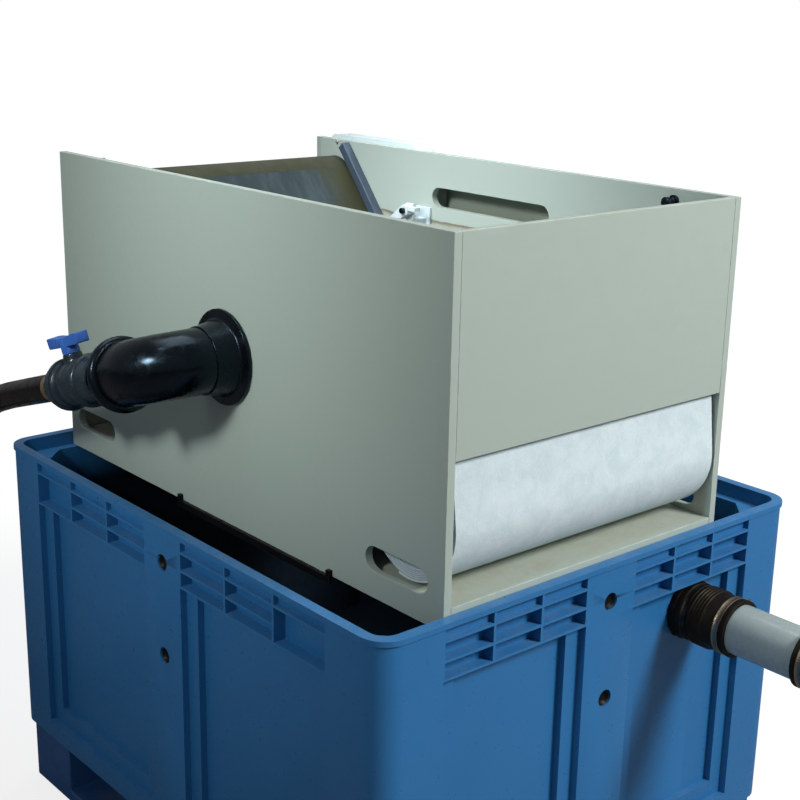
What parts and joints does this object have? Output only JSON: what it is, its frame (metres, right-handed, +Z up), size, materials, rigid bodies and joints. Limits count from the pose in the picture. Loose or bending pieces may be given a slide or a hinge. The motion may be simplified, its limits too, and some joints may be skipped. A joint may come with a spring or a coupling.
{
  "type": "roll fleece pond filter",
  "caption": "Open box filter that winds a band of fleece through a water trough, standing in the mouth of a ribbed pallet tank with a valved side inlet, feed hose and a piped drain.",
  "frame": {"origin": "on the floor under the middle of the tank, at the centre of the centre runner's underside", "axes": "+Z up, +Y along the tank from the drain and fleece window to the rear, +X from the inlet side to the drive side"},
  "size_m": [1.5103, 1.7662, 1.347],
  "materials": {
    "tank_blue": "moulded, satin",
    "panel": "satin sheet",
    "fleece": "non-woven, matt",
    "dirty_fleece": "wet and soiled",
    "guide": "satin",
    "black": "glossy",
    "rubber": "semi-matt",
    "valve_grey": "satin",
    "handle_blue": "satin",
    "pipe_grey": "satin",
    "steel": "brushed",
    "white": "satin",
    "motor": "cast, painted"
  },
  "bodies": {
    "filter": {"tank": "tank_blue", "runner_left": "tank_blue", "runner_centre": "tank_blue", "runner_right": "tank_blue", "side_panel_near": "panel", "side_panel_far": "panel", "front_panel": "panel", "rear_panel": "panel", "base_plate": "panel", "fleece_web": "fleece", "edge_guide_near": "guide", "edge_guide_far": "guide", "roll_keeper_near": "guide", "roll_keeper_far": "guide", "overflow_hood": "guide", "inlet_flange": "black", "inlet_elbow": "black", "reducer": "black", "edge_rail": "black", "outlet_nut": "black", "takeup_bearing": "black", "cover_hook": "black", "float_pin": "black", "cable_gland": "black", "flange_seal": "rubber", "elbow_ring": "rubber", "outlet_coupling": "rubber", "outlet_sleeve": "rubber", "hose": "rubber", "valve_body": "valve_grey", "union_nut_inlet": "valve_grey", "union_nut_outlet": "valve_grey", "hose_tail": "valve_grey", "hose_fitting": "valve_grey", "outlet_pipe": "pipe_grey", "outlet_connector": "pipe_grey", "fleece_bed": "steel", "guide_roller_shaft": "steel", "clamp_tank_end": "steel", "clamp_pipe_end": "steel", "sleeve_clamp": "steel", "hose_clamp": "steel", "drive_cover": "white", "float_bracket": "white", "gearbox": "motor", "gear_motor": "motor"},
    "valve_set": {"valve_handle": "handle_blue", "valve_stem": "valve_grey", "valve_ball": "steel"},
    "supply_roll": {"supply_fleece": "fleece", "supply_core": "pipe_grey", "core_plug_near": "black", "core_plug_far": "black"},
    "guide_roll": {"guide_roller": "pipe_grey"},
    "takeup_roll": {"takeup_fleece": "dirty_fleece", "takeup_core": "pipe_grey", "takeup_plug": "black", "drive_shaft": "steel"},
    "float_lever": {"float_arm": "white", "float": "white"}
  },
  "joints": [
    {"name": "valve_turn", "type": "hinge", "parent": "filter", "child": "valve_set", "pos_m": [-0.495, 0.26972, 0.95679], "axis": [-0.1392, 0.2945, 0.9455], "range_deg": [-90, 0]},
    {"name": "supply_spin", "type": "hinge", "parent": "filter", "child": "supply_roll", "pos_m": [0, -0.475, 0.8828], "axis": [-1, 0, 0], "continuous": true},
    {"name": "guide_spin", "type": "hinge", "parent": "filter", "child": "guide_roll", "pos_m": [0, -0.515, 1.2328], "axis": [-1, 0, 0], "continuous": true},
    {"name": "takeup_spin", "type": "hinge", "parent": "filter", "child": "takeup_roll", "pos_m": [0, 0.4915, 1.2448], "axis": [-1, 0, 0], "continuous": true},
    {"name": "float_swing", "type": "hinge", "parent": "filter", "child": "float_lever", "pos_m": [0.225, 0.205, 1.222], "axis": [1, 0, 0], "range_deg": [0, 35]}
  ],
  "couplings": [
    {"joint": "takeup_spin", "follows": "supply_spin", "ratio": 1.6472},
    {"joint": "guide_spin", "follows": "supply_spin", "ratio": 4.6697}
  ]
}
